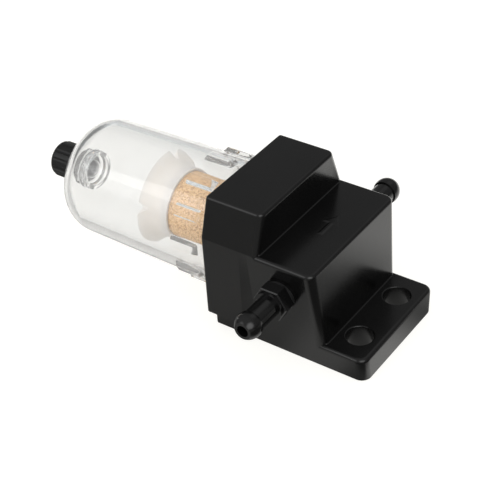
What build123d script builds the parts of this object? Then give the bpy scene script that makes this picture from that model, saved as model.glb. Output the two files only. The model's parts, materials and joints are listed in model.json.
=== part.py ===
from build123d import *
import os
from math import cos, radians, sin, sqrt, tan

# Fuel water separator: a moulded head with two hose barbs, a clear screw-on bowl
# that holds a sintered element and an umbrella baffle, and a drain knob.
# All sizes are millimetres. The origin is the middle of the two mounting holes on
# the flat back face. +Z points away from the mounting surface, +X to the tab end,
# and the bowl hangs out along -X.

# Head outline, distances along X measured from the mounting hole line
tab_reach = 6.1
tab_thickness = 6.8
hole_to_body = 5.1
hole_to_step = 21.9
hole_to_mouth = 38.35
body_height = 28.7
head_height = 39.0
body_end_draft = 3.7
ramp_start = 27.2
ramp_length = 2.3

# Head widths and heights over the back face
base_width = 32.9
roof_width = 31.6
skirt_width = 38.5
skirt_foot_width = 39.3
skirt_foot_height = 6.0
plate_height = 2.6

# Head edges
tab_corner_radius = 2.6
body_corner_radius = 2.2
roof_corner_radius = 1.8
top_edge_radius = 1.0
mouth_edge_radius = 0.7

# Mounting holes
mount_hole_radius = 3.5
mount_hole_spacing = 17.7
mount_hole_rim = 0.3

# Bowl and the socket that it screws into
bowl_axis_height = 20.0
bowl_radius = 16.6
bowl_end_radius = 15.7
bowl_wall = 2.0
bowl_floor = 1.5
bowl_reach = 52.85
bowl_end_corner = 8.0
bowl_floor_corner = 6.3
neck_radius = 15.4
neck_wall = 2.0
neck_length = 9.4
neck_end_gap = 1.0
neck_cone_length = 2.0
collar_depth = 1.9
collar_clearance = 0.3
thread_clearance = 0.3
mouth_chamfer = 0.4

# Grip ribs round the bowl
rib_count = 12
rib_width = 2.8
rib_height = 0.9
rib_length = 8.2
rib_to_mouth = 3.85
rib_phase = 5.0

# Bowl seal
bowl_seal_section = 1.2
bowl_seal_space = 1.6

# Filter element and its gaskets
element_radius = 8.9
element_wall = 2.0
element_length = 28.7
element_edge = 0.3
gasket_thickness = 0.8

# Diffuser ring that sets the incoming fuel turning round the bowl
diffuser_fit = 0.05
diffuser_to_element = 0.45
diffuser_wall = 0.7
diffuser_length = 6.8
diffuser_to_neck = 0.4
vane_count = 10
vane_thickness = 0.9
vane_length = 4.2
vane_slant = 38.0
spigot_height = 2.2

# Baffle under the element
lip_fit = 0.15
lip_wall = 0.65
lip_overlap = 1.8
baffle_web = 1.5
baffle_rim_radius = 12.7
baffle_drop = 5.1
baffle_wall = 1.1
baffle_notch_count = 4
baffle_notch_width = 3.4
baffle_notch_floor = 0.9
baffle_notch_depth = 1.9
baffle_notch_phase = 72.0
baffle_lobe_radius = 1.6

# Bolt that clamps the element and the baffle to the head
bolt_radius = 1.95
bolt_fit = 0.1
bolt_grip = 8.0
bolt_hole_spare = 1.5
bolt_head_flats = 6.6
bolt_head_height = 2.4
bolt_washer_radius = 3.9
bolt_washer_thickness = 0.6

# Ports in the head
hole_to_port = 16.15
port_height = 19.6
passage_radius = 1.7
inlet_passage_offset = 11.4
outlet_passage_offset = 4.7
port_hole_spare = 0.2

# Hose barbs, reaches along Y measured from the middle of the head
barb_tip_reach = 34.0
barb_length = 3.8
barb_bore_radius = 1.55
barb_tip_radius = 2.3
barb_bulge_radius = 3.45
barb_heel_radius = 3.3
barb_neck_radius = 2.95
barb_collar_radius = 3.8
barb_collar_length = 0.8
barb_hex_reach = 22.9
barb_hex_length = 3.3
barb_hex_flats = 8.3
barb_hex_chamfer = 0.25
barb_stub_radius = 3.0
barb_stub_length = 8.9
barb_stub_fit = 0.05
port_seal_radius = 4.0
port_seal_thickness = 2.0
port_seal_fit = 0.1

# Drain boss and guard ring on the end of the bowl
drain_bore_radius = 2.4
drain_land_length = 1.8
drain_relief_radius = 2.8
drain_relief_length = 3.1
drain_boss_radius = 3.6
drain_boss_length = 6.0
drain_guard_radius = 5.4
drain_guard_wall = 1.1
drain_guard_height = 1.7
drain_guard_slot = 1.7
drain_guard_angle = 47.0

# Drain knob, its hollow stem and the stem seal
knob_radius = 5.0
knob_length = 9.5
knob_end_radius = 1.2
knob_to_bowl = 1.2
knob_skirt_clearance = 0.3
knob_skirt_spare = 0.7
flute_count = 12
flute_radius = 0.9
flute_depth = 0.35
stem_fit = 0.1
stem_tip_gap = 0.5
stem_tip_chamfer = 0.2
stem_bore_radius = 1.1
stem_port_radius = 0.5
stem_port_setback = 2.4
drain_seal_section = 0.85
drain_seal_setback = 0.3
drain_seal_fit = 0.04
drain_groove_play = 0.1

# Stations along the bowl axis
step_x = -hole_to_step
ramp_x = -ramp_start
ramp_end_x = ramp_x + ramp_length
mouth_x = -hole_to_mouth
port_x = -hole_to_port
collar_x = mouth_x + collar_depth
socket_step_x = collar_x + bowl_seal_space
neck_end_x = collar_x + neck_length
socket_floor_x = neck_end_x + neck_end_gap
spigot_x = socket_floor_x - spigot_height
element_top_x = spigot_x - gasket_thickness
element_end_x = element_top_x - element_length
baffle_seat_x = element_end_x - gasket_thickness
baffle_web_x = baffle_seat_x - baffle_web
baffle_rim_x = baffle_seat_x - baffle_drop
bolt_head_x = baffle_web_x - bolt_washer_thickness
bolt_end_x = spigot_x + bolt_grip
rib_start_x = mouth_x - rib_to_mouth
bowl_end_x = mouth_x - bowl_reach
bowl_floor_x = bowl_end_x + bowl_floor
boss_end_x = bowl_end_x - drain_boss_length
knob_face_x = bowl_end_x - knob_to_bowl
knob_end_x = knob_face_x - knob_length
knob_floor_x = boss_end_x - knob_skirt_spare
stem_tip_x = bowl_floor_x - stem_tip_gap
stem_port_x = stem_tip_x - stem_port_setback
drain_seal_x = stem_tip_x - drain_seal_setback - drain_seal_section / 2

# Reaches along the ports
hex_seat_reach = barb_hex_reach - barb_hex_length
seal_seat_reach = hex_seat_reach - port_seal_thickness
stub_end_reach = hex_seat_reach - barb_stub_length
stub_hole_reach = stub_end_reach - port_hole_spare
barb_heel_reach = barb_tip_reach - barb_length

# Radii that follow from the sizes above
mouth_radius = bowl_radius + collar_clearance
socket_radius = neck_radius + thread_clearance
neck_bore_radius = neck_radius - neck_wall
bowl_bore_radius = bowl_radius - bowl_wall
bowl_end_bore_radius = bowl_end_radius - bowl_wall
element_bore_radius = element_radius - element_wall
diffuser_bore_radius = element_radius + diffuser_to_element
diffuser_sleeve_radius = diffuser_bore_radius + diffuser_wall
vane_tip_radius = neck_bore_radius - diffuser_to_neck
spigot_radius = diffuser_bore_radius - diffuser_fit
bolt_hole_radius = bolt_radius + bolt_fit
lip_bore_radius = element_radius + lip_fit
lip_radius = lip_bore_radius + lip_wall
stub_hole_radius = barb_stub_radius + barb_stub_fit
stem_radius = drain_bore_radius - stem_fit
drain_seal_centre_radius = drain_bore_radius - drain_seal_fit - drain_seal_section / 2
drain_groove_radius = drain_seal_centre_radius - drain_seal_section / 2 - drain_seal_fit

# Planes and axes that the pieces share
bowl_axis = Axis((0, 0, bowl_axis_height), (1, 0, 0))
port_axis = Axis((port_x, 0, port_height), (0, 1, 0))
along_bowl = Plane(origin=(0, 0, bowl_axis_height), x_dir=(1, 0, 0), z_dir=(0, -1, 0))


def across(x, height=bowl_axis_height):
    """Plane square to the bowl axis: its x runs along +Y, its y along +Z."""
    return Plane(origin=(x, 0, height), x_dir=(0, 1, 0), z_dir=(1, 0, 0))


def along_port(side):
    """Plane through the port axis: its x runs out of the head, its y along +Z."""
    return Plane(origin=(port_x, 0, port_height), x_dir=(0, side, 0), z_dir=(side, 0, 0))


def port_face(side, reach):
    """Plane square to the port axis at this reach, facing out of the head."""
    middle = (port_x, side * reach, port_height)
    return Plane(origin=middle, x_dir=(1, 0, 0), z_dir=(0, side, 0))


def radial_plane(x, angle, radius):
    """Plane at this radius facing away from the bowl axis; angle 0 is +Y, 90 is +Z."""
    outward = (0, cos(radians(angle)), sin(radians(angle)))
    middle = (x, radius * outward[1], bowl_axis_height + radius * outward[2])
    return Plane(origin=middle, x_dir=(1, 0, 0), z_dir=outward)


def body_half_width(height):
    """Half width of the drafted body at this height over the back face."""
    spread = (skirt_width - base_width) / 2
    return base_width / 2 + spread * height / body_height


def both_sides(rows):
    """Corners of an outline given by (half width, height) rows, mirrored."""
    return rows + [(-width, height) for width, height in reversed(rows)]


def skirt_section(x):
    """Section of the head round the bowl socket."""
    rows = [
        (base_width / 2, 0),
        (base_width / 2, plate_height),
        (skirt_foot_width / 2, skirt_foot_height),
        (skirt_width / 2, body_height),
        (roof_width / 2, head_height),
    ]
    with BuildSketch(across(x, 0)) as section:
        with BuildLine():
            Polyline(*both_sides(rows), close=True)
        make_face()
    return section.sketch


def shoulder_section(x):
    """Section of the head where the skirt has run out into the drafted body."""
    rows = [
        (base_width / 2, 0),
        (body_half_width(plate_height), plate_height),
        (body_half_width(skirt_foot_height), skirt_foot_height),
        (skirt_width / 2, body_height),
        (roof_width / 2, head_height),
    ]
    with BuildSketch(across(x, 0)) as section:
        with BuildLine():
            Polyline(*both_sides(rows), close=True)
        make_face()
    return section.sketch


def edges_beyond(face, x):
    """Edges of a face whose middles lie on the tab's side of x."""
    return face.edges().filter_by(lambda edge: edge.center().X > x)


def facing(part, axis):
    """Faces of a part that look mainly along this axis, in order along it."""
    looking = part.faces().filter_by(lambda face: face.normal_at().dot(axis.direction) > 0.9)
    return looking.sort_by(axis)


# Head: drafted body with the tab, then the ramp, shoulder and skirt of the socket
body_end_top_x = -hole_to_body - (body_height - tab_thickness) * tan(radians(body_end_draft))
body_draft_rows = [(base_width / 2, 0), (skirt_width / 2, body_height)]

with BuildPart() as head:
    with BuildSketch(Plane.XZ) as side_view:
        with BuildLine():
            Polyline(
                (ramp_end_x, 0),
                (ramp_end_x, body_height),
                (body_end_top_x, body_height),
                (-hole_to_body, tab_thickness),
                (tab_reach, tab_thickness),
                (tab_reach, 0),
                close=True,
            )
        make_face()
    extrude(amount=skirt_width, both=True)
    with BuildSketch(across(ramp_end_x, 0)) as draft_view:
        with BuildLine():
            Polyline(*both_sides(body_draft_rows), close=True)
        make_face()
    extrude(amount=tab_reach - ramp_end_x, mode=Mode.INTERSECT)
    extrude(shoulder_section(ramp_end_x), amount=step_x - ramp_end_x)
    loft([skirt_section(ramp_x), shoulder_section(ramp_end_x)], ruled=True)
    extrude(skirt_section(mouth_x), amount=ramp_x - mouth_x)

    tab_end = facing(head.part, Axis.X)[-1]
    fillet(tab_end.edges().filter_by(Axis.Y, reverse=True), tab_corner_radius)
    body_end = facing(head.part, Axis.X)[-2]
    fillet(body_end.edges().filter_by(Axis.Y, reverse=True), body_corner_radius)
    step = facing(head.part, Axis.X)[-3]
    fillet(step.edges().filter_by(Axis.Y, reverse=True), roof_corner_radius)

    tab_top, body_top, roof = facing(head.part, Axis.Z)[-3:]
    fillet(edges_beyond(tab_top, -hole_to_body), top_edge_radius)
    tab_top, body_top, roof = facing(head.part, Axis.Z)[-3:]
    fillet(edges_beyond(body_top, step_x), top_edge_radius)
    tab_top, body_top, roof = facing(head.part, Axis.Z)[-3:]
    fillet(edges_beyond(roof, mouth_x), top_edge_radius)
    mouth = head.faces().sort_by(Axis.X)[0]
    fillet(mouth.edges(), mouth_edge_radius)

    with Locations((0, 0, tab_thickness)):
        with GridLocations(0, mount_hole_spacing, 1, 2):
            Hole(mount_hole_radius)
    hole_rims = head.edges().filter_by(GeomType.CIRCLE).filter_by(
        lambda edge: abs(edge.radius - mount_hole_radius) < 0.001
    )
    fillet(hole_rims.group_by(Axis.Z)[-1], mount_hole_rim)

    with BuildSketch(along_bowl) as socket:
        with BuildLine():
            Polyline(
                (mouth_x, 0),
                (mouth_x, mouth_radius + mouth_chamfer),
                (mouth_x + mouth_chamfer, mouth_radius),
                (socket_step_x, mouth_radius),
                (socket_step_x, socket_radius),
                (socket_floor_x, socket_radius),
                (socket_floor_x, spigot_radius),
                (spigot_x, spigot_radius),
                (spigot_x, 0),
                close=True,
            )
        make_face()
    revolve(axis=bowl_axis, mode=Mode.SUBTRACT)
    with BuildSketch(across(spigot_x)):
        Circle(bolt_hole_radius)
    extrude(amount=bolt_grip + bolt_hole_spare, mode=Mode.SUBTRACT)
    with BuildSketch(across(socket_floor_x)):
        with Locations((-inlet_passage_offset, port_height - bowl_axis_height)):
            Circle(passage_radius)
    extrude(amount=port_x + passage_radius - socket_floor_x, mode=Mode.SUBTRACT)
    with BuildSketch(across(spigot_x)):
        with Locations((outlet_passage_offset, port_height - bowl_axis_height)):
            Circle(passage_radius)
    extrude(amount=port_x + passage_radius - spigot_x, mode=Mode.SUBTRACT)
    with BuildSketch(port_face(1, outlet_passage_offset)):
        Circle(passage_radius)
    extrude(amount=stub_hole_reach - outlet_passage_offset, mode=Mode.SUBTRACT)
    for side in (-1, 1):
        with BuildSketch(port_face(side, stub_hole_reach)):
            Circle(stub_hole_radius)
        extrude(amount=barb_tip_reach - stub_hole_reach, mode=Mode.SUBTRACT)
        with BuildSketch(port_face(side, seal_seat_reach)):
            Circle(port_seal_radius + port_seal_fit)
        extrude(amount=barb_tip_reach - seal_seat_reach, mode=Mode.SUBTRACT)


def ring(x, outer_radius, inner_radius, length):
    """Flat ring round the bowl axis, running from x towards the head."""
    with BuildPart() as washer:
        with BuildSketch(across(x)):
            Circle(outer_radius)
            Circle(inner_radius, mode=Mode.SUBTRACT)
        extrude(amount=length)
    return washer.part


def round_seal(x, centre_radius, section):
    """Round-section sealing ring about the bowl axis."""
    with BuildPart() as seal:
        with BuildSketch(along_bowl):
            with Locations((x, centre_radius)):
                Circle(section / 2)
        revolve(axis=bowl_axis)
    return seal.part


def hose_barb(side):
    """Hose barb with its hexagon and threaded stub; side is -1 or 1 along Y."""
    neck_reach = barb_hex_reach + barb_collar_length
    bulge_reach = barb_heel_reach + barb_length / 3
    with BuildPart() as barb:
        with BuildSketch(port_face(side, hex_seat_reach)):
            RegularPolygon(barb_hex_flats / 2, 6, major_radius=False)
        extrude(amount=barb_hex_length)
        chamfer(barb.edges().group_by(Axis.Y)[-1 if side > 0 else 0], barb_hex_chamfer)
        with BuildSketch(along_port(side)):
            with BuildLine():
                Polyline(
                    (stub_end_reach, 0),
                    (stub_end_reach, barb_stub_radius),
                    (barb_hex_reach, barb_stub_radius),
                    (barb_hex_reach, barb_collar_radius),
                    (neck_reach, barb_collar_radius),
                    (neck_reach, barb_neck_radius),
                    (barb_heel_reach, barb_neck_radius),
                    (barb_heel_reach, barb_heel_radius),
                )
                ThreePointArc(
                    (barb_heel_reach, barb_heel_radius),
                    (bulge_reach, barb_bulge_radius),
                    (barb_tip_reach, barb_tip_radius),
                )
                Polyline(
                    (barb_tip_reach, barb_tip_radius), (barb_tip_reach, 0), (stub_end_reach, 0)
                )
            make_face()
        revolve(axis=port_axis)
        with BuildSketch(port_face(side, stub_end_reach)):
            Circle(barb_bore_radius)
        extrude(amount=barb_tip_reach - stub_end_reach, mode=Mode.SUBTRACT)
    return barb.part


def port_seal(side):
    """Washer between a barb's hexagon and its seat in the head."""
    with BuildPart() as seal:
        with BuildSketch(port_face(side, seal_seat_reach)):
            Circle(port_seal_radius)
            Circle(stub_hole_radius, mode=Mode.SUBTRACT)
        extrude(amount=port_seal_thickness)
    return seal.part


# Diffuser: slanted vanes on a sleeve that is pushed over the spigot in the socket
diffuser_end_x = socket_floor_x - diffuser_length
vane_half = vane_length / 2
vane_rise = vane_half * tan(radians(vane_slant))
vane_side = vane_thickness / cos(radians(vane_slant)) / 2

with BuildPart() as diffuser:
    for vane in range(vane_count):
        vane_angle = 360 / vane_count * vane
        vane_root = radial_plane(diffuser_end_x + vane_half, vane_angle, element_radius)
        with BuildSketch(vane_root):
            with BuildLine():
                Polyline(
                    (-vane_half, -vane_rise - vane_side),
                    (vane_half, vane_rise - vane_side),
                    (vane_half, vane_rise + vane_side),
                    (-vane_half, -vane_rise + vane_side),
                    close=True,
                )
            make_face()
        extrude(amount=neck_radius - element_radius)
    with BuildSketch(across(diffuser_end_x)):
        Circle(vane_tip_radius)
    extrude(amount=diffuser_length, mode=Mode.INTERSECT)
    with BuildSketch(across(diffuser_end_x)):
        Circle(diffuser_sleeve_radius)
    extrude(amount=diffuser_length)
    with BuildSketch(across(diffuser_end_x)):
        Circle(diffuser_bore_radius)
    extrude(amount=diffuser_length, mode=Mode.SUBTRACT)

# Filter element: an open tube of sintered beads
with BuildPart() as filter_element:
    with BuildSketch(across(element_end_x)):
        Circle(element_radius)
        Circle(element_bore_radius, mode=Mode.SUBTRACT)
    extrude(amount=element_length)
    chamfer(filter_element.edges().filter_by(GeomType.CIRCLE), element_edge)

# Baffle: a cup for the element's end that flares into an umbrella with four notches
lip_x = baffle_seat_x + lip_overlap
baffle_flare = baffle_rim_radius - lip_radius
bell_radius = (baffle_drop**2 + baffle_flare**2) / (2 * baffle_flare)


def bell(x, wall=0):
    """Point on the umbrella's curve at x, inside it by this wall."""
    reach = baffle_seat_x - x
    return (x, lip_radius + bell_radius - sqrt((bell_radius + wall) ** 2 - reach**2))


with BuildPart() as baffle:
    with BuildSketch(along_bowl):
        with BuildLine():
            Polyline(
                bell(baffle_web_x, baffle_wall),
                (baffle_web_x, bolt_hole_radius),
                (baffle_seat_x, bolt_hole_radius),
                (baffle_seat_x, lip_bore_radius),
                (lip_x, lip_bore_radius),
                (lip_x, lip_radius),
                (baffle_seat_x, lip_radius),
            )
            ThreePointArc(
                (baffle_seat_x, lip_radius),
                bell((baffle_seat_x + baffle_rim_x) / 2),
                (baffle_rim_x, baffle_rim_radius),
            )
            Line((baffle_rim_x, baffle_rim_radius), bell(baffle_rim_x, baffle_wall))
            ThreePointArc(
                bell(baffle_rim_x, baffle_wall),
                bell((baffle_web_x + baffle_rim_x) / 2, baffle_wall),
                bell(baffle_web_x, baffle_wall),
            )
        make_face()
    revolve(axis=bowl_axis)
    with BuildSketch() as notch:
        with BuildLine():
            Polyline(
                (-baffle_notch_depth, -baffle_notch_floor / 2),
                (0, -baffle_notch_width / 2),
                (0, -baffle_notch_width),
                (baffle_notch_depth, -baffle_notch_width),
                (baffle_notch_depth, baffle_notch_width),
                (0, baffle_notch_width),
                (0, baffle_notch_width / 2),
                (-baffle_notch_depth, baffle_notch_floor / 2),
                close=True,
            )
        make_face()
        lobe_corners = notch.vertices().filter_by(
            lambda corner: abs(corner.X) < 0.001 and abs(corner.Y) < 0.6 * baffle_notch_width
        )
        fillet(lobe_corners, baffle_lobe_radius)
    with BuildSketch(across(baffle_rim_x)):
        with PolarLocations(baffle_rim_radius, baffle_notch_count, baffle_notch_phase):
            add(notch.sketch)
    extrude(amount=baffle_drop, mode=Mode.SUBTRACT)

# Bolt up through the baffle and the element into the head
with BuildPart() as element_bolt:
    with BuildSketch(across(bolt_head_x)):
        Circle(bolt_radius)
    extrude(amount=bolt_end_x - bolt_head_x)
    with BuildSketch(across(bolt_head_x)):
        RegularPolygon(bolt_head_flats / 2, 6, major_radius=False)
    extrude(amount=-bolt_head_height)

# Bowl: tapered cup with a neck, grip ribs, and the drain boss and guard on its end
with BuildPart() as bowl:
    with BuildSketch(along_bowl) as bowl_wall_section:
        with BuildLine():
            Polyline(
                (bowl_end_x, 0),
                (bowl_end_x, bowl_end_radius),
                (rib_start_x, bowl_radius),
                (collar_x, bowl_radius),
                (collar_x, neck_radius),
                (neck_end_x, neck_radius),
                (neck_end_x, neck_bore_radius),
                (collar_x, neck_bore_radius),
                (collar_x - neck_cone_length, bowl_bore_radius),
                (rib_start_x, bowl_bore_radius),
                (bowl_floor_x, bowl_end_bore_radius),
                (bowl_floor_x, 0),
                close=True,
            )
        make_face()
        end_corner = bowl_wall_section.vertices().group_by(Axis.X)[0].sort_by(Axis.Y)[-1]
        fillet(end_corner, bowl_end_corner)
        floor_corners = bowl_wall_section.vertices().filter_by(
            lambda vertex: abs(vertex.X - bowl_floor_x) < 0.001
        )
        fillet(floor_corners.sort_by(Axis.Y)[-1], bowl_floor_corner)
    revolve(axis=bowl_axis)
    with BuildSketch(across(rib_start_x)):
        with PolarLocations(bowl_radius, rib_count, 180 - rib_phase):
            Rectangle(2 * rib_height, rib_width)
    extrude(amount=-rib_length)
    with BuildSketch(across(bowl_end_x)):
        Circle(drain_boss_radius)
    extrude(amount=-drain_boss_length)
    with BuildSketch(across(bowl_floor_x)):
        Circle(drain_guard_radius)
        Circle(drain_guard_radius - drain_guard_wall, mode=Mode.SUBTRACT)
        Rectangle(
            3 * drain_guard_radius,
            drain_guard_slot,
            rotation=drain_guard_angle,
            mode=Mode.SUBTRACT,
        )
    extrude(amount=drain_guard_height)
    with BuildSketch(across(bowl_floor_x)):
        Circle(drain_bore_radius)
    extrude(amount=boss_end_x - bowl_floor_x, mode=Mode.SUBTRACT)
    with BuildSketch(across(bowl_floor_x - drain_land_length)):
        Circle(drain_relief_radius)
    extrude(amount=-drain_relief_length, mode=Mode.SUBTRACT)

# Drain knob: fluted grip over the boss and a hollow stem with a groove for its seal
groove_length = drain_seal_section + 2 * drain_groove_play

with BuildPart() as drain_knob:
    with BuildSketch(across(knob_end_x)):
        Circle(knob_radius)
    extrude(amount=knob_length)
    fillet(drain_knob.edges().group_by(Axis.X)[0], knob_end_radius)
    with BuildSketch(across(knob_end_x)):
        with PolarLocations(knob_radius + flute_radius - flute_depth, flute_count):
            Circle(flute_radius)
    extrude(amount=knob_length, mode=Mode.SUBTRACT)
    with BuildSketch(across(knob_face_x)):
        Circle(drain_boss_radius + knob_skirt_clearance)
    extrude(amount=knob_floor_x - knob_face_x, mode=Mode.SUBTRACT)
    with BuildSketch(across(knob_floor_x)):
        Circle(stem_radius)
    extrude(amount=stem_tip_x - knob_floor_x)
    chamfer(drain_knob.edges().group_by(Axis.X)[-1], stem_tip_chamfer)
    with BuildSketch(across(drain_seal_x - groove_length / 2)):
        Circle(stem_radius)
        Circle(drain_groove_radius, mode=Mode.SUBTRACT)
    extrude(amount=groove_length, mode=Mode.SUBTRACT)
    with BuildSketch(across(knob_end_x)):
        Circle(stem_bore_radius)
    extrude(amount=stem_port_x + stem_port_radius - knob_end_x, mode=Mode.SUBTRACT)
    with BuildSketch(Plane(origin=(stem_port_x, 0, bowl_axis_height), z_dir=(0, 1, 0))):
        Circle(stem_port_radius)
    extrude(amount=stem_radius, both=True, mode=Mode.SUBTRACT)

# Write each piece, labelled with its own name
bowl_seal_x = collar_x + bowl_seal_space / 2
bowl_seal_centre_radius = (neck_radius + mouth_radius) / 2
pieces = {
    "head": head.part,
    "inlet_barb": hose_barb(-1),
    "outlet_barb": hose_barb(1),
    "inlet_seal": port_seal(-1),
    "outlet_seal": port_seal(1),
    "diffuser": diffuser.part,
    "upper_gasket": ring(element_top_x, element_radius, element_bore_radius, gasket_thickness),
    "filter_element": filter_element.part,
    "lower_gasket": ring(baffle_seat_x, element_radius, element_bore_radius, gasket_thickness),
    "baffle": baffle.part,
    "bolt_washer": ring(bolt_head_x, bolt_washer_radius, bolt_hole_radius, bolt_washer_thickness),
    "element_bolt": element_bolt.part,
    "bowl_seal": round_seal(bowl_seal_x, bowl_seal_centre_radius, bowl_seal_section),
    "bowl": bowl.part,
    "drain_seal": round_seal(drain_seal_x, drain_seal_centre_radius, drain_seal_section),
    "drain_knob": drain_knob.part,
}

os.makedirs("parts", exist_ok=True)
for name, piece in pieces.items():
    piece.label = name
    export_step(piece, f"parts/{name}.step")
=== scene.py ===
import json
from math import cos, pi, radians, sin, tan

import bmesh
import bpy
from mathutils import Matrix, Vector


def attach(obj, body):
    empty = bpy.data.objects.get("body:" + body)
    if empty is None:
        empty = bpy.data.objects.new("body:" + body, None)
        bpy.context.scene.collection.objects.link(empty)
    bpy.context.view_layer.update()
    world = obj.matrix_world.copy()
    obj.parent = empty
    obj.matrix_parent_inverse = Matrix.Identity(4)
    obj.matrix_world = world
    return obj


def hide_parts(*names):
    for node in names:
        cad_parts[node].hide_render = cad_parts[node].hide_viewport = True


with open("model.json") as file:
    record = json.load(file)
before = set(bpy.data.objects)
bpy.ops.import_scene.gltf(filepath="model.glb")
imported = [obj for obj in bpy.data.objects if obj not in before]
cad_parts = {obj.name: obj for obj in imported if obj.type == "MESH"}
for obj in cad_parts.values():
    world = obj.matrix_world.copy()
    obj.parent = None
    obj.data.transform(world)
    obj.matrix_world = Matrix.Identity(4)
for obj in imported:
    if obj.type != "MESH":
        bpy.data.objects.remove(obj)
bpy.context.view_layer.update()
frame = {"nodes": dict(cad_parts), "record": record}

MM = 0.001

# The bowl's sizes that more than one function needs, in mm
BOWL_AXIS_HEIGHT = 20.0
BOWL_FLOOR = -89.7
NECK_RADIUS = 15.4
RIB_MIDDLE, RIB_HALF_LENGTH = -46.3, 4.3


# Short ways to write nodes

def sum_writer(tree):
    """Returns a short way to write a sum as a Math node in a tree. Each value is a number or a socket."""
    def write(operation, *values):
        step = tree.nodes.new("ShaderNodeMath")
        step.operation = operation
        for socket, value in zip(step.inputs, values):
            put(tree, value, socket)
        return step.outputs[0]
    return write


def put(tree, value, socket):
    """Sets a socket to a number, or links another socket to it."""
    if isinstance(value, (int, float)):
        socket.default_value = value
    else:
        tree.links.new(value, socket)


def eased(tree, value, start, end, low, high):
    """Runs softly from low to high while a value goes from start to end."""
    fade = tree.nodes.new("ShaderNodeMapRange")
    fade.interpolation_type = "SMOOTHSTEP"
    tree.links.new(value, fade.inputs["Value"])
    for label, number in zip(("From Min", "From Max", "To Min", "To Max"), (start, end, low, high)):
        put(tree, number, fade.inputs[label])
    return fade.outputs["Result"]


def direction_writer(tree, place):
    """Returns a short way to write what runs from low to high along a direction of a vector socket."""
    def along(direction, start, end, low, high):
        reach = tree.nodes.new("ShaderNodeVectorMath")
        reach.operation = "DOT_PRODUCT"
        reach.inputs[1].default_value = direction
        tree.links.new(place, reach.inputs[0])
        return eased(tree, reach.outputs["Value"], start, end, low, high)
    return along


# Camera, backdrop and lights

def look_frame(azimuth, elevation, roll):
    """Right, up and back directions of a camera at that angle, turned by roll."""
    a, e, r = radians(azimuth), radians(elevation), radians(roll)
    back = Vector((sin(a) * cos(e), -cos(a) * cos(e), sin(e)))
    right = Vector((0, 0, 1)).cross(back).normalized()
    up = back.cross(right)
    return cos(r) * right + sin(r) * up, cos(r) * up - sin(r) * right, back


def add_camera():
    """The photo's camera, fitted to the object's edges and holes in the photo."""
    right, up, back = look_frame(azimuth=37.8328, elevation=37.2677, roll=-4.5324)
    data = bpy.data.cameras.new("camera")
    data.lens = 96.719
    data.sensor_width = 36.0
    data.clip_start = 0.01
    camera = bpy.data.objects.new("camera", data)
    turn = Matrix((right, up, back)).transposed().to_4x4()
    camera.matrix_world = Matrix.Translation((0.130903, -0.218060, 0.222258)) @ turn
    bpy.context.scene.collection.objects.link(camera)
    bpy.context.scene.camera = camera


def add_soft_lamp(name, place, size, watts):
    """A soft square lamp that leaves no mirror image in the black plastic."""
    data = bpy.data.lights.new(name, "AREA")
    data.shape = "RECTANGLE"
    data.size = data.size_y = size
    data.energy = watts
    lamp = bpy.data.objects.new(name, data)
    lamp.location = place
    lamp.rotation_euler = (Vector((-0.03, 0, 0.02)) - Vector(place)).to_track_quat("-Z", "Y").to_euler()
    lamp.visible_glossy = False
    bpy.context.scene.collection.objects.link(lamp)


def add_world():
    """White to the camera, pale grey through the bowl, and a soft studio for the gloss to mirror."""
    world = bpy.data.worlds.new("studio")
    bpy.context.scene.world = world
    world.use_nodes = True
    tree = world.node_tree
    tree.nodes.clear()
    node, link = tree.nodes.new, tree.links.new
    out = node("ShaderNodeOutputWorld")
    way = node("ShaderNodeTexCoord")
    path = node("ShaderNodeLightPath")
    write = sum_writer(tree)
    towards = direction_writer(tree, way.outputs["Generated"])

    def shade(colour):
        sky = node("ShaderNodeBackground")
        if isinstance(colour, tuple):
            sky.inputs["Color"].default_value = (*colour, 1)
        else:
            link(colour, sky.inputs["Color"])
        return sky.outputs[0]

    def choose(which, otherwise, chosen):
        mix = node("ShaderNodeMixShader")
        link(which, mix.inputs["Fac"])
        link(otherwise, mix.inputs[1])
        link(chosen, mix.inputs[2])
        return mix.outputs[0]

    # What the gloss mirrors
    open_sky = towards((-0.05, -0.75, 0.66), -0.1, 0.9, 0.245, 0.46)
    left_box = towards((-0.49, -0.75, 0.45), 0.90, 0.99, 0.0, 1.1)
    right_box = towards((0.66, -0.52, 0.55), 0.85, 0.98, 0.0, 1.9)
    top_box = towards((0.1, 0.6, 0.79), 0.92, 0.985, 0.0, 0.18)
    above_floor = towards((0.0, 0.0, 1.0), 0.0, 0.35, 0.5, 1.0)
    studio = write("ADD", write("ADD", open_sky, top_box), write("ADD", left_box, right_box))
    mirrored = shade(write("MULTIPLY", above_floor, studio))

    # What the bowl lets through: darker past the bowl's end, which draws the dark line round it
    past_end = towards((-1.0, 0.0, 0.0), 0.60, 0.80, 0.0, 0.85)
    through = choose(past_end, shade((0.71, 0.745, 0.755)), shade((0.0, 0.0, 0.0)))

    result = choose(path.outputs["Is Transmission Ray"], mirrored, through)
    scattered = write("GREATER_THAN", path.outputs["Diffuse Depth"], 0.5)
    result = choose(scattered, result, shade((0.94, 0.94, 0.93)))
    result = choose(path.outputs["Is Camera Ray"], result, shade((1.0, 1.0, 1.0)))
    link(result, out.inputs["Surface"])


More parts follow.
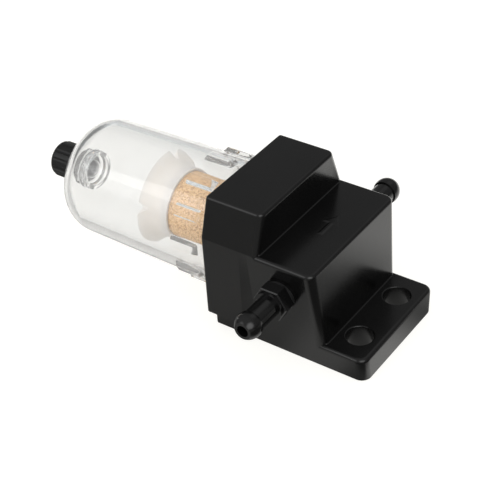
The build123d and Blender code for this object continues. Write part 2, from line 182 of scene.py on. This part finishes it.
def floor_glow(tree, path, place):
    """How strongly the floor glows for each kind of ray, so that bowl and black faces look as in daylight."""
    write = sum_writer(tree)
    along = direction_writer(tree, place)
    right, back = (1.0, 0.0, 0.0), (0.0, 1.0, 0.0)

    # Seen through the bowl: a dark strip in front, the brightest part under the bowl, dimmer far behind
    strip = along(back, -0.0150, -0.0080, 0.32, 0.76)
    under_bowl = write("MULTIPLY", strip, along(back, -0.004, 0.012, 1.0, 0.84))
    far = along(back, 0.026, 0.090, 1.0, 0.82)
    through = write("MULTIPLY", path.outputs["Is Transmission Ray"], write("MULTIPLY", under_bowl, far))

    # Mirrored in the end faces, in the tab's side and at the body's corner
    behind = write("MULTIPLY", along(back, 0.012, 0.042, 0.0, 0.95), along(right, 0.032, 0.060, 1.0, 0.2))
    tab_side = write("MULTIPLY", along(right, -0.100, -0.045, 0.0, 0.15),
                     along(right, -0.008, 0.004, 1.0, 0.3))
    before_corner = write("MULTIPLY", along(right, -0.022, -0.010, 0.0, 0.25),
                          along(right, -0.004, 0.003, 1.0, 0.0))

    # Mirrored inside the mounting holes and low on the tab's end
    under_tab = along(back, -0.0165, -0.0145, 0.0, 1.0)
    past_holes = along(right, 0.0035, 0.005, 0.0, 1.0)
    before_tab = write("SUBTRACT", along(right, -0.006, -0.005, 0.0, 1.0), past_holes)
    tab_foot = write("MULTIPLY", along(right, 0.009, 0.014, 0.85, 0.0), along(back, -0.004, 0.016, 1.0, 0.0))
    at_tab = write("ADD", write("MULTIPLY", before_tab, 0.22), write("MULTIPLY", past_holes, tab_foot))

    only_mirrored = write("MULTIPLY", path.outputs["Is Glossy Ray"],
                          write("SUBTRACT", 1.0, path.outputs["Is Transmission Ray"]))
    sides = write("ADD", write("ADD", behind, tab_side),
                  write("ADD", before_corner, write("MULTIPLY", under_tab, at_tab)))
    gloss = write("MULTIPLY", only_mirrored, sides)

    camera = write("MULTIPLY", path.outputs["Is Camera Ray"], 0.83)
    lit = write("MULTIPLY", write("GREATER_THAN", path.outputs["Diffuse Depth"], 0.5), 0.65)
    glow = write("MAXIMUM", write("MAXIMUM", camera, write("MAXIMUM", through, gloss)), lit)

    # The upright rounded edges mirror the floor before the right corner, which stays dark for them
    before_edges = write("MULTIPLY", along((0.784, -0.622, 0.0), 0.0145, 0.019, 0.0, 1.0),
                         along(back, -0.085, -0.060, 0.0, 1.0))
    return glow, write("MULTIPLY", only_mirrored, before_edges)


def add_floor():
    """Pale sweep that keeps the soft shadow, and glows as floor_glow says."""
    mesh = bpy.data.meshes.new("floor")
    shape = bmesh.new()
    reach, drop = 3.0, 0.0002
    corners = [(-reach, -reach), (reach, -reach), (reach, reach), (-reach, reach)]
    shape.faces.new([shape.verts.new((x, y, -drop)) for x, y in corners])
    shape.to_mesh(mesh)
    shape.free()
    floor = bpy.data.objects.new("floor", mesh)
    bpy.context.scene.collection.objects.link(floor)

    material = bpy.data.materials.new("white_sweep")
    material.use_nodes = True
    tree = material.node_tree
    tree.nodes.clear()
    node, link = tree.nodes.new, tree.links.new
    out = node("ShaderNodeOutputMaterial")
    path = node("ShaderNodeLightPath")
    place = node("ShaderNodeTexCoord")
    strength, darkened = floor_glow(tree, path, place.outputs["Object"])
    matt = node("ShaderNodeBsdfDiffuse")
    matt.inputs["Color"].default_value = (0.28, 0.28, 0.275, 1)
    dark = node("ShaderNodeBsdfDiffuse")
    dark.inputs["Color"].default_value = (0.05, 0.05, 0.05, 1)
    ground = node("ShaderNodeMixShader")
    link(darkened, ground.inputs["Fac"])
    link(matt.outputs[0], ground.inputs[1])
    link(dark.outputs[0], ground.inputs[2])
    glow = node("ShaderNodeEmission")
    glow.inputs["Color"].default_value = (1.0, 0.99, 0.96, 1)
    link(strength, glow.inputs["Strength"])
    add = node("ShaderNodeAddShader")
    link(ground.outputs[0], add.inputs[0])
    link(glow.outputs[0], add.inputs[1])
    link(add.outputs[0], out.inputs["Surface"])
    mesh.materials.append(material)


# Shader groups

def new_group(name, inputs, outputs):
    """A shader node group with these inputs and outputs, with its input and output nodes."""
    group = bpy.data.node_groups.new(name, "ShaderNodeTree")
    for label, kind, value in inputs:
        socket = group.interface.new_socket(label, in_out="INPUT", socket_type=kind)
        if value is not None:
            socket.default_value = value
    for label, kind in outputs:
        group.interface.new_socket(label, in_out="OUTPUT", socket_type=kind)
    return group, group.nodes.new("NodeGroupInput"), group.nodes.new("NodeGroupOutput")


def moulded_grain():
    """Fine spark-eroded grain of a moulding: a height for Bump, and a roughness that wanders."""
    group, start, end = new_group(
        "moulded_grain",
        [("Grain Size", "NodeSocketFloat", 6000.0), ("Roughness", "NodeSocketFloat", 0.4),
         ("Wander", "NodeSocketFloat", 0.08)],
        [("Height", "NodeSocketFloat"), ("Roughness", "NodeSocketFloat"), ("Tone", "NodeSocketFloat")],
    )
    node, link = group.nodes.new, group.links.new
    place = node("ShaderNodeTexCoord")
    fine = node("ShaderNodeTexNoise")
    fine.inputs["Detail"].default_value = 3
    link(place.outputs["Object"], fine.inputs["Vector"])
    link(start.outputs["Grain Size"], fine.inputs["Scale"])
    link(fine.outputs["Fac"], end.inputs["Height"])
    broad = node("ShaderNodeTexNoise")
    broad.inputs["Scale"].default_value = 90.0
    broad.inputs["Detail"].default_value = 4
    link(place.outputs["Object"], broad.inputs["Vector"])
    link(broad.outputs["Fac"], end.inputs["Tone"])
    write = sum_writer(group)
    centred = write("SUBTRACT", broad.outputs["Fac"], 0.5)
    gloss = write("MULTIPLY_ADD", centred, start.outputs["Wander"], start.outputs["Roughness"])
    link(gloss, end.inputs["Roughness"])
    return group


GRAIN = moulded_grain()


def plain_material(name):
    """A material with an empty Principled shader."""
    material = bpy.data.materials.new(name)
    material.use_nodes = True
    tree = material.node_tree
    tree.nodes.clear()
    out = tree.nodes.new("ShaderNodeOutputMaterial")
    shader = tree.nodes.new("ShaderNodeBsdfPrincipled")
    tree.links.new(shader.outputs[0], out.inputs["Surface"])
    return material, tree, shader, out


def tone_ramp(tree, value, *stops):
    """Colours at given places of a value that runs from 0 to 1."""
    ramp = tree.nodes.new("ShaderNodeValToRGB")
    elements = ramp.color_ramp.elements
    while len(elements) < len(stops):
        elements.new(0.5)
    for element, (position, colour) in zip(elements, stops):
        element.position = position
        element.color = (*colour, 1)
    tree.links.new(value, ramp.inputs["Fac"])
    return ramp.outputs["Color"]


def moulded(name, dark, light, roughness, wander, grain, depth):
    """Moulded plastic or rubber: a tone between dark and light, grain and wandering gloss."""
    material, tree, shader, _ = plain_material(name)
    node, link = tree.nodes.new, tree.links.new
    group = node("ShaderNodeGroup")
    group.node_tree = GRAIN
    group.inputs["Grain Size"].default_value = grain
    group.inputs["Roughness"].default_value = roughness
    group.inputs["Wander"].default_value = wander
    link(tone_ramp(tree, group.outputs["Tone"], (0.35, dark), (0.65, light)), shader.inputs["Base Color"])
    link(group.outputs["Roughness"], shader.inputs["Roughness"])
    bump = node("ShaderNodeBump")
    bump.inputs["Strength"].default_value = 1.0
    bump.inputs["Distance"].default_value = depth
    link(group.outputs["Height"], bump.inputs["Height"])
    link(bump.outputs["Normal"], shader.inputs["Normal"])
    return material


def milky_plastic(name):
    """White moulding that lets some light through."""
    material = moulded(name, (0.75, 0.70, 0.66), (0.79, 0.745, 0.71), 0.4, 0.1, 4000, 0.000005)
    shader = material.node_tree.nodes["Principled BSDF"]
    shader.inputs["Subsurface Weight"].default_value = 0.6
    shader.inputs["Subsurface Radius"].default_value = (1.0, 0.9, 0.8)
    shader.inputs["Subsurface Scale"].default_value = 0.004
    return material


def clear_plastic(name):
    """Clear, slightly milky plastic. Shadow rays pass straight through it."""
    material, tree, shader, out = plain_material(name)
    node, link = tree.nodes.new, tree.links.new
    group = node("ShaderNodeGroup")
    group.node_tree = GRAIN
    group.inputs["Grain Size"].default_value = 250.0
    group.inputs["Roughness"].default_value = 0.02
    group.inputs["Wander"].default_value = 0.02
    link(group.outputs["Roughness"], shader.inputs["Roughness"])
    shader.inputs["Base Color"].default_value = (0.985, 0.985, 0.98, 1)
    shader.inputs["IOR"].default_value = 1.49
    shader.inputs["Transmission Weight"].default_value = 0.93
    path = node("ShaderNodeLightPath")
    through = node("ShaderNodeBsdfTransparent")
    through.inputs["Color"].default_value = (0.96, 0.96, 0.955, 1)
    mix = node("ShaderNodeMixShader")
    link(path.outputs["Is Shadow Ray"], mix.inputs["Fac"])
    link(shader.outputs[0], mix.inputs[1])
    link(through.outputs[0], mix.inputs[2])
    link(mix.outputs[0], out.inputs["Surface"])
    return material


def sintered_bronze(name):
    """Fused bronze beads: pale tan crowns with dark pores between, and darker streaks here and there."""
    material, tree, shader, _ = plain_material(name)
    node, link = tree.nodes.new, tree.links.new
    place = node("ShaderNodeTexCoord")
    beads = node("ShaderNodeTexVoronoi")
    beads.inputs["Scale"].default_value = 2600.0
    link(place.outputs["Object"], beads.inputs["Vector"])
    crown = tone_ramp(tree, beads.outputs["Distance"],
                      (0.30, (0.96, 0.66, 0.34)), (0.50, (0.90, 0.56, 0.25)), (0.72, (0.54, 0.28, 0.10)))
    patch = node("ShaderNodeTexNoise")
    patch.inputs["Scale"].default_value = 700.0
    patch.inputs["Detail"].default_value = 3
    link(place.outputs["Object"], patch.inputs["Vector"])
    streak = tone_ramp(tree, patch.outputs["Fac"], (0.35, (0.90, 0.86, 0.80)), (0.60, (1.0, 1.0, 1.0)))
    tint = node("ShaderNodeMix")
    tint.data_type = "RGBA"
    tint.blend_type = "MULTIPLY"
    tint.inputs["Factor"].default_value = 1.0
    link(crown, tint.inputs["A"])
    link(streak, tint.inputs["B"])
    link(tint.outputs["Result"], shader.inputs["Base Color"])
    bump = node("ShaderNodeBump")
    bump.invert = True
    bump.inputs["Distance"].default_value = 0.00012
    link(beads.outputs["Distance"], bump.inputs["Height"])
    link(bump.outputs["Normal"], shader.inputs["Normal"])
    shader.inputs["Roughness"].default_value = 0.55
    return material


def knob_plastic(name):
    """Black moulded knob. Its narrow face towards the bowl, outside the stem, is painted pale grey: painted
    light that stands in for the bright bowl lighting it, so no dark disc shows through the bowl.
    """
    material = moulded(name, (0.002, 0.002, 0.002), (0.004, 0.004, 0.004), 0.38, 0.1, 6000, 0.00002)
    tree = material.node_tree
    write = sum_writer(tree)
    shader = tree.nodes["Principled BSDF"]
    black = shader.inputs["Base Color"].links[0].from_socket
    place = tree.nodes.new("ShaderNodeTexCoord")
    split = tree.nodes.new("ShaderNodeSeparateXYZ")
    tree.links.new(place.outputs["Object"], split.inputs[0])
    rise = write("SUBTRACT", split.outputs["Z"], BOWL_AXIS_HEIGHT * MM)
    radius = write("SQRT", write("ADD", write("MULTIPLY", split.outputs["Y"], split.outputs["Y"]),
                                 write("MULTIPLY", rise, rise)))
    inner_face_from, stem_radius = -92.5 * MM, 3.4 * MM
    # Painted light: this mask picks the face towards the bowl, outside the stem, which is painted pale grey
    # for the bowl's glow on it
    face = write("MULTIPLY", write("GREATER_THAN", split.outputs["X"], inner_face_from),
                 write("GREATER_THAN", radius, stem_radius))
    tone = tree.nodes.new("ShaderNodeMix")
    tone.data_type = "RGBA"
    tree.links.new(face, tone.inputs["Factor"])
    tree.links.new(black, tone.inputs["A"])
    # The painted light's pale grey, in place of the knob's black
    tone.inputs["B"].default_value = (0.8, 0.81, 0.81, 1)
    tree.links.new(tone.outputs["Result"], shader.inputs["Base Color"])
    return material


MATERIAL = {
    "head_plastic": moulded("head_plastic", (0.0030, 0.0030, 0.0030), (0.0042, 0.0042, 0.0041),
                            0.21, 0.10, 5000, 0.000008),
    "barb_black": moulded("barb_black", (0.003, 0.003, 0.003), (0.005, 0.005, 0.005),
                          0.18, 0.08, 5000, 0.000004),
    "rubber": moulded("rubber", (0.008, 0.008, 0.008), (0.014, 0.014, 0.014), 0.6, 0.1, 6000, 0.00002),
    "white_plastic": milky_plastic("white_plastic"),
    "sintered_bronze": sintered_bronze("sintered_bronze"),
    "steel": moulded("steel", (0.5, 0.5, 0.5), (0.6, 0.6, 0.6), 0.3, 0.1, 6000, 0.000005),
    "clear_plastic": clear_plastic("clear_plastic"),
    "knob_plastic": knob_plastic("knob_plastic"),
}


# Geometry Nodes: trees that raise what repeats

def new_tree(name, sizes):
    """A geometry tree with one geometry input, named sizes and a material, and a geometry output."""
    tree = bpy.data.node_groups.new(name, "GeometryNodeTree")
    tree.interface.new_socket("Geometry", in_out="INPUT", socket_type="NodeSocketGeometry")
    for label, value in sizes.items():
        socket = tree.interface.new_socket(label, in_out="INPUT", socket_type="NodeSocketFloat")
        socket.default_value = value
    tree.interface.new_socket("Material", in_out="INPUT", socket_type="NodeSocketMaterial")
    tree.interface.new_socket("Geometry", in_out="OUTPUT", socket_type="NodeSocketGeometry")
    return tree, tree.nodes.new("NodeGroupInput"), tree.nodes.new("NodeGroupOutput")


def close_tree(tree, start, end, geometry):
    """Ends a tree: loose copies made real, smooth faces, the piece's material."""
    real = tree.nodes.new("GeometryNodeRealizeInstances")
    smooth = tree.nodes.new("GeometryNodeSetShadeSmooth")
    finish = tree.nodes.new("GeometryNodeSetMaterial")
    tree.links.new(geometry, real.inputs["Geometry"])
    tree.links.new(real.outputs["Geometry"], smooth.inputs["Geometry"])
    tree.links.new(smooth.outputs["Geometry"], finish.inputs["Geometry"])
    tree.links.new(start.outputs["Material"], finish.inputs["Material"])
    tree.links.new(finish.outputs["Geometry"], end.inputs["Geometry"])


def run_tree(piece, tree, sizes):
    """Runs a tree on a piece with these sizes, and keeps the result as the piece's own mesh."""
    modifier = piece.modifiers.new(tree.name, "NODES")
    modifier.node_group = tree
    for item in tree.interface.items_tree:
        if item.item_type == "SOCKET" and item.in_out == "INPUT" and item.name in sizes:
            modifier[item.identifier] = sizes[item.name]
    bpy.context.view_layer.update()
    ready = piece.evaluated_get(bpy.context.evaluated_depsgraph_get())
    made = bpy.data.meshes.new_from_object(ready)
    piece.modifiers.remove(modifier)
    piece.data = made
    made.name = piece.name
    return piece


def polar_place(tree, start):
    """Distance along the bowl's axis, distance from it and angle round it, of each point."""
    write = sum_writer(tree)
    place = tree.nodes.new("GeometryNodeInputPosition")
    split = tree.nodes.new("ShaderNodeSeparateXYZ")
    tree.links.new(place.outputs[0], split.inputs[0])
    rise = write("SUBTRACT", split.outputs["Z"], start.outputs["Axis Height"])
    radius = write("SQRT", write("ADD", write("MULTIPLY", split.outputs["Y"], split.outputs["Y"]),
                                 write("MULTIPLY", rise, rise)))
    angle = write("ARCTAN2", rise, split.outputs["Y"])
    return split.outputs["X"], split.outputs["Y"], rise, radius, angle


def move_out(tree, start, chosen, along, across, rise, radius, new_radius):
    """Set Position that moves the chosen points straight away from the axis to a new radius."""
    write = sum_writer(tree)
    share = write("DIVIDE", new_radius, radius)
    join = tree.nodes.new("ShaderNodeCombineXYZ")
    tree.links.new(along, join.inputs["X"])
    tree.links.new(write("MULTIPLY", across, share), join.inputs["Y"])
    lifted = write("ADD", write("MULTIPLY", rise, share), start.outputs["Axis Height"])
    tree.links.new(lifted, join.inputs["Z"])
    move = tree.nodes.new("GeometryNodeSetPosition")
    tree.links.new(start.outputs["Geometry"], move.inputs["Geometry"])
    tree.links.new(chosen, move.inputs["Selection"])
    tree.links.new(join.outputs[0], move.inputs["Position"])
    return move.outputs["Geometry"]


def grip_rib_tree():
    """Raises grip ribs with flat tops, drafted sides and rounded corners on the bowl's outside."""
    tree, start, end = new_tree("grip_ribs", {
        "Ribs": 12.0, "First Angle": 0.0, "Half Width": 0.0014, "Half Length": 0.004, "Middle": 0.0,
        "Top Radius": 0.0175, "Side Slope": 0.0005, "Corner": 0.0005, "Head End Draft": 0.6,
        "Axis Height": 0.02, "Skin Radius": 0.0155,
    })
    write = sum_writer(tree)
    size = start.outputs
    along, across, rise, radius, angle = polar_place(tree, start)
    pitch = write("DIVIDE", 2 * pi, size["Ribs"])
    turned = write("SUBTRACT", angle, size["First Angle"])
    near = write("WRAP", turned, write("MULTIPLY", pitch, 0.5), write("MULTIPLY", pitch, -0.5))
    side = write("MULTIPLY", radius, write("ABSOLUTE", write("TANGENT", near)))
    length = write("ABSOLUTE", write("SUBTRACT", along, size["Middle"]))
    over_side = write("ADD", write("SUBTRACT", side, size["Half Width"]), size["Corner"])
    draft = write("ADD", 1.0, write("MULTIPLY", write("GREATER_THAN", along, size["Middle"]),
                                    write("SUBTRACT", size["Head End Draft"], 1.0)))
    past_end = write("MULTIPLY", write("SUBTRACT", length, size["Half Length"]), draft)
    over_end = write("ADD", past_end, size["Corner"])
    outside_side, outside_end = write("MAXIMUM", over_side, 0.0), write("MAXIMUM", over_end, 0.0)
    beyond = write("SQRT", write("ADD", write("MULTIPLY", outside_side, outside_side),
                                 write("MULTIPLY", outside_end, outside_end)))
    within = write("MINIMUM", write("MAXIMUM", over_side, over_end), 0.0)
    inset = write("SUBTRACT", size["Corner"], write("ADD", beyond, within))
    raised = write("MINIMUM", write("DIVIDE", inset, size["Side Slope"]), 1.0)
    top = write("DIVIDE", size["Top Radius"], write("COSINE", near))
    new_radius = write("ADD", radius, write("MULTIPLY", raised, write("SUBTRACT", top, radius)))
    chosen = write("MULTIPLY", write("GREATER_THAN", radius, size["Skin Radius"]),
                   write("GREATER_THAN", inset, 0.0))
    close_tree(tree, start, end, move_out(tree, start, chosen, along, across, rise, radius, new_radius))
    return tree


def neck_thread_tree():
    """Raises a right-handed thread on the bowl's neck, which fades out at both ends."""
    tree, start, end = new_tree("neck_thread", {
        "Pitch": 0.0025, "Root Radius": 0.0154, "Depth": 0.0002, "From": -0.036, "To": -0.0275,
        "Fade": 0.0012, "Half Ridge": 0.32, "Flank": 0.2, "Axis Height": 0.02,
    })
    write = sum_writer(tree)
    size = start.outputs
    along, across, rise, radius, angle = polar_place(tree, start)
    turns = write("ADD", write("DIVIDE", along, size["Pitch"]), write("DIVIDE", angle, 2 * pi))
    wave = write("ABSOLUTE", write("SUBTRACT", write("FRACT", turns), 0.5))
    ridge = eased(tree, write("SUBTRACT", size["Half Ridge"], wave), 0.0, size["Flank"], 0.0, 1.0)
    enter = eased(tree, write("SUBTRACT", along, size["From"]), 0.0, size["Fade"], 0.0, 1.0)
    leave = eased(tree, write("SUBTRACT", size["To"], along), 0.0, size["Fade"], 0.0, 1.0)
    lift = write("MULTIPLY", write("MULTIPLY", ridge, size["Depth"]), write("MULTIPLY", enter, leave))
    skin = write("COMPARE", radius, size["Root Radius"], 0.00002)
    inside = write("MULTIPLY", write("GREATER_THAN", along, size["From"]),
                   write("LESS_THAN", along, size["To"]))
    new_radius = write("ADD", radius, lift)
    chosen = write("MULTIPLY", skin, inside)
    close_tree(tree, start, end, move_out(tree, start, chosen, along, across, rise, radius, new_radius))
    return tree


# Pieces

def piece_from(shape, name):
    """Makes the finished shape a piece of its own, normals out."""
    mesh = bpy.data.meshes.new(name)
    bmesh.ops.recalc_face_normals(shape, faces=shape.faces)
    shape.to_mesh(mesh)
    shape.free()
    piece = bpy.data.objects.new(name, mesh)
    bpy.context.scene.collection.objects.link(piece)
    return piece


def rounded_outline(corners, longest):
    """Points of a closed outline of (x, r, corner radius) in mm: arcs at the corners, short runs between."""
    count = len(corners)
    arcs = []
    for i, (x, r, size) in enumerate(corners):
        here = Vector((x, r))
        before = Vector(corners[i - 1][:2]) - here
        after = Vector(corners[(i + 1) % count][:2]) - here
        if size == 0:
            arcs.append([here])
            continue
        to_before, to_after = before.normalized(), after.normalized()
        half = to_before.angle(to_after) / 2
        reach = size / tan(half)
        middle = here + (to_before + to_after).normalized() * (size / sin(half))
        first, last = here + to_before * reach, here + to_after * reach
        steps = max(4, int((pi - 2 * half) * 3 * (1 + size / 2)))
        a, b = first - middle, last - middle
        sweep = a.angle_signed(b)
        points = []
        for k in range(steps + 1):
            turn = -sweep * k / steps
            c, d = cos(turn), sin(turn)
            points.append(middle + Vector((c * a.x - d * a.y, d * a.x + c * a.y)))
        arcs.append(points)
    near_corner, least, even_from = (0.12, 0.4), 0.05, 0.7
    outline = []
    for i, arc in enumerate(arcs):
        outline.extend(arc)
        a, b = arc[-1], arcs[(i + 1) % count][0]
        run = (b - a).length
        pieces = max(1, int(run / longest))
        even = {run * k / pieces for k in range(1, pieces)}
        inner = {t for step in near_corner for t in (step, run - step) if least < t < run - least}
        inner |= {t for t in even if even_from < t < run - even_from}
        outline.extend(a + (b - a) * (t / run) for t in sorted(inner))
    return outline


def turned_mesh(name, outline, angles, bend):
    """A closed body turned round the bowl's axis. The outline is in mm; angle 0 is +Y and 90 is +Z."""
    shape = bmesh.new()
    rings = []
    for angle in angles:
        ring = []
        for x, r in outline:
            x, r = bend(x, r, angle)
            height = BOWL_AXIS_HEIGHT + r * sin(angle)
            ring.append(shape.verts.new((x * MM, r * cos(angle) * MM, height * MM)))
        rings.append(ring)
    size = len(outline)
    for i, ring in enumerate(rings):
        following = rings[(i + 1) % len(rings)]
        for k in range(size):
            shape.faces.new((ring[k], ring[(k + 1) % size], following[(k + 1) % size], following[k]))
    for face in shape.faces:
        face.smooth = True
    return piece_from(shape, name)


def add_stations(outline, stations):
    """Adds points to the outline's outer runs where they pass these distances along the axis."""
    inside_up_to, apart = 15.3, 0.03
    result = []
    for i, point in enumerate(outline):
        following = outline[(i + 1) % len(outline)]
        result.append(point)
        if min(point.y, following.y) < inside_up_to or abs(following.x - point.x) < 1e-6:
            continue
        low, high = sorted((point.x, following.x))
        inner = [s for s in stations if low + apart < s < high - apart]
        inner.sort(reverse=following.x < point.x)
        for s in inner:
            share = (s - point.x) / (following.x - point.x)
            result.append(point + (following - point) * share)
    return result


def bowl_outline():
    """The bowl's section in mm, with extra points where the thread and the ribs' ends are raised."""
    neck_end, collar, rib_start, bowl_end = -27.05, -36.45, -42.2, -91.2
    bowl_radius, end_radius, wall, neck_cone = 16.6, 15.7, 2.0, 2.0
    bore, bowl_bore = NECK_RADIUS - wall, bowl_radius - wall
    outside = [
        (neck_end, NECK_RADIUS, 0.3), (collar, NECK_RADIUS, 0.15), (collar, bowl_radius, 0.3),
        (rib_start, bowl_radius, 0), (bowl_end, end_radius, 8.0),
    ]
    boss_radius, boss_end, drain_bore = 3.6, -97.2, 2.4
    relief_radius, relief_from, relief_to = 2.8, -94.6, -91.5
    drain_boss = [
        (bowl_end, boss_radius, 0.3), (boss_end, boss_radius, 0.3), (boss_end, drain_bore, 0.2),
        (relief_from, drain_bore, 0.1), (relief_from, relief_radius, 0.1), (relief_to, relief_radius, 0.1),
        (relief_to, drain_bore, 0.1), (BOWL_FLOOR, drain_bore, 0.3),
    ]
    guard_inner, guard_outer, guard_draft, guard_height = 4.2, 5.5, 0.12, 1.7
    guard_top = BOWL_FLOOR + guard_height
    guard_ring = [
        (BOWL_FLOOR, guard_inner, 0.3), (guard_top, guard_inner + guard_draft, 0.25),
        (guard_top, guard_outer - guard_draft, 0.25), (BOWL_FLOOR, guard_outer, 0.3),
    ]
    inside = [
        (BOWL_FLOOR, end_radius - wall, 6.3), (rib_start, bowl_bore, 0), (collar - neck_cone, bowl_bore, 0.2),
        (collar, bore, 0.3), (neck_end, bore, 0.3),
    ]
    outline = rounded_outline(outside + drain_boss + guard_ring + inside, longest=2.0)
    thread = [collar + 0.2 * k for k in range(1, 46)]
    ends = (RIB_MIDDLE - RIB_HALF_LENGTH, 1), (RIB_MIDDLE + RIB_HALF_LENGTH, -1)
    rib_ends = [end + inward * step for end, inward in ends
                for step in (-0.5, -0.2, -0.04, 0.04, 0.2, 0.4, 0.58, 0.67, 0.85, 1.3, 1.7, 2.1)]
    return add_stations(outline, thread + rib_ends)


def cut_slot(x, r, angle):
    """Takes the guard ring down to the bowl's floor inside its slot."""
    slot_angle, half_width, blend = radians(47), 0.75, 0.2
    ring_from, ring_to = 3.9, 5.9
    if x <= BOWL_FLOOR + 0.01 or not ring_from < r < ring_to:
        return x, r
    off = abs(r * sin(angle - slot_angle))
    share = min(1.0, max(0.0, (off - half_width) / blend))
    share = share * share * (3 - 2 * share)
    return BOWL_FLOOR + (x - BOWL_FLOOR) * share, r


def clear_bowl():
    """The clear bowl: a smooth cup with grip ribs, neck thread, drain boss and slotted guard ring."""
    ribs, first_rib, pitch = 12, 25, 30
    # Degrees from a rib's middle, close together where its sides rise
    half_pitch = [0, 2.0, 3.3, 3.74, 3.88, 4.9, 5.9, 6.04, 6.4, 8.0, 11.5, 15.0]
    offsets = [-o for o in half_pitch[-2:0:-1]] + half_pitch
    angles = sorted(radians(first_rib + pitch * k + o) for k in range(ribs) for o in offsets)
    bowl = turned_mesh("bowl_shell", bowl_outline(), angles, cut_slot)
    shared = {"Axis Height": BOWL_AXIS_HEIGHT * MM, "Material": MATERIAL["clear_plastic"]}
    run_tree(bowl, grip_rib_tree(), {
        "Ribs": float(ribs), "First Angle": radians(first_rib), "Half Width": 1.73 * MM,
        "Half Length": RIB_HALF_LENGTH * MM, "Middle": RIB_MIDDLE * MM, "Top Radius": 17.5 * MM,
        "Side Slope": 0.63 * MM, "Corner": 0.5 * MM, "Head End Draft": 0.55,
        "Skin Radius": 16.0 * MM, **shared,
    })
    run_tree(bowl, neck_thread_tree(), {
        "Pitch": 2.5 * MM, "Root Radius": NECK_RADIUS * MM, "Depth": 0.2 * MM, "From": -36.2 * MM,
        "To": -27.4 * MM, "Fade": 1.2 * MM, "Half Ridge": 0.32, "Flank": 0.2, **shared,
    })
    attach(bowl, "bowl")
    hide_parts("bowl")


def low_sign(name, outline, level, rise, side):
    """A low raised sign. The outline runs round to the left, half way up the sloping side; sizes in mm."""
    shape = bmesh.new()
    count = len(outline)
    rows = []
    for share_in, share_up in ((-0.55, -0.35), (-0.5, 0.0), (0.5, 1.0)):
        row = []
        for i in range(count):
            here = Vector(outline[i])
            arriving = (here - Vector(outline[i - 1])).normalized()
            leaving = (Vector(outline[(i + 1) % count]) - here).normalized()
            first, second = Vector((-arriving.y, arriving.x)), Vector((-leaving.y, leaving.x))
            mitre = (first + second).normalized()
            spot = here + mitre * (side * share_in / max(0.4, mitre.dot(first)))
            row.append(shape.verts.new((spot.x * MM, spot.y * MM, (level + rise * share_up) * MM)))
        rows.append(row)
    for low, high in zip(rows, rows[1:]):
        for i in range(count):
            shape.faces.new((low[i], low[(i + 1) % count], high[(i + 1) % count], high[i]))
    shape.faces.new(rows[-1])
    shape.faces.new(rows[0][::-1])
    return piece_from(shape, name)


def flow_arrow():
    """The low arrow on the body's top, which shows the way the fuel runs, from inlet to outlet."""
    middle, body_top = -14.2, 28.7
    shaft_side, head_side, tail, neck, tip = 0.5, 2.1, -3.3, 1.6, 4.7
    outline = [(shaft_side, tail), (shaft_side, neck), (head_side, neck), (0.0, tip),
               (-head_side, neck), (-shaft_side, neck), (-shaft_side, tail)]
    arrow = low_sign("flow_arrow", [(middle + x, y) for x, y in outline], body_top, rise=0.17, side=0.5)
    arrow.data.materials.append(MATERIAL["head_plastic"])
    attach(arrow, "head")


def crease_cove(name, line, wall, floor, radius):
    """A small hollow round that fills the crease where a wall meets a floor, along a line in mm.

    At each point of the line, wall points up the wall and floor points out over the floor."""
    shape = bmesh.new()
    steps, sunk = 6, 0.05
    rows = []
    for place, up, out in zip(line, wall, floor):
        place, up, out = Vector(place), Vector(up), Vector(out)
        section = [place - up * sunk - out * sunk]
        for k in range(steps + 1):
            turn = pi / 2 * k / steps
            section.append(place + up * (radius * (1 - sin(turn))) + out * (radius * (1 - cos(turn))))
        section[1] -= out * sunk
        section[-1] -= up * sunk
        rows.append([shape.verts.new(p * MM) for p in section])
    count = steps + 2
    for first, second in zip(rows, rows[1:]):
        for i in range(count):
            face = shape.faces.new((first[i], first[(i + 1) % count], second[(i + 1) % count], second[i]))
            face.smooth = 0 < i < count - 1
    shape.faces.new(rows[0])
    shape.faces.new(rows[-1][::-1])
    piece = piece_from(shape, name)
    piece.data.materials.append(MATERIAL["head_plastic"])
    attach(piece, "head")


def head_coves():
    """Moulding rounds in the two creases that face the camera: body to tab, and step to body top."""
    end_draft = tan(radians(3.7))
    arc_steps = 4
    creases = (
        ("tab_cove", -7.3, 14.89, 2.2, 28, 6.8, end_draft),
        ("step_cove", -23.7, 17.35, 1.8, 24, 28.7, 0.0),
    )
    for name, arc_x, arc_y, size, sweep, height, lean in creases:
        line, walls, floors = [], [], []
        turns = [radians(sweep * k / arc_steps) for k in range(arc_steps + 1)]
        for side, run in ((-1, turns[::-1]), (1, turns)):
            for turn in run:
                away = Vector((cos(turn), side * sin(turn), 0))
                line.append(Vector((arc_x, side * arc_y, height)) + away * size)
                floors.append(away)
                walls.append((Vector((0, 0, 1)) - away * lean).normalized())
        crease_cove(name, line, walls, floors, radius=0.28)


def finish_nodes():
    """Gives every CAD node the material of its slot."""
    slots = {row["node"]: row["material_slot"] for row in frame["record"]["subparts"]}
    for name, node in frame["nodes"].items():
        node.data.materials.clear()
        node.data.materials.append(MATERIAL[slots[name]])


finish_nodes()
clear_bowl()
flow_arrow()
head_coves()

add_camera()
add_world()
add_floor()
add_soft_lamp("left_soft", (-0.45, -0.55, 0.58), size=0.4, watts=1.1)
add_soft_lamp("top_soft", (0.05, -0.12, 0.9), size=0.6, watts=0.25)

scene = bpy.context.scene
scene.view_settings.view_transform = "Standard"
scene.cycles.glossy_bounces = 12
scene.cycles.max_bounces = 20
scene.cycles.transmission_bounces = 20
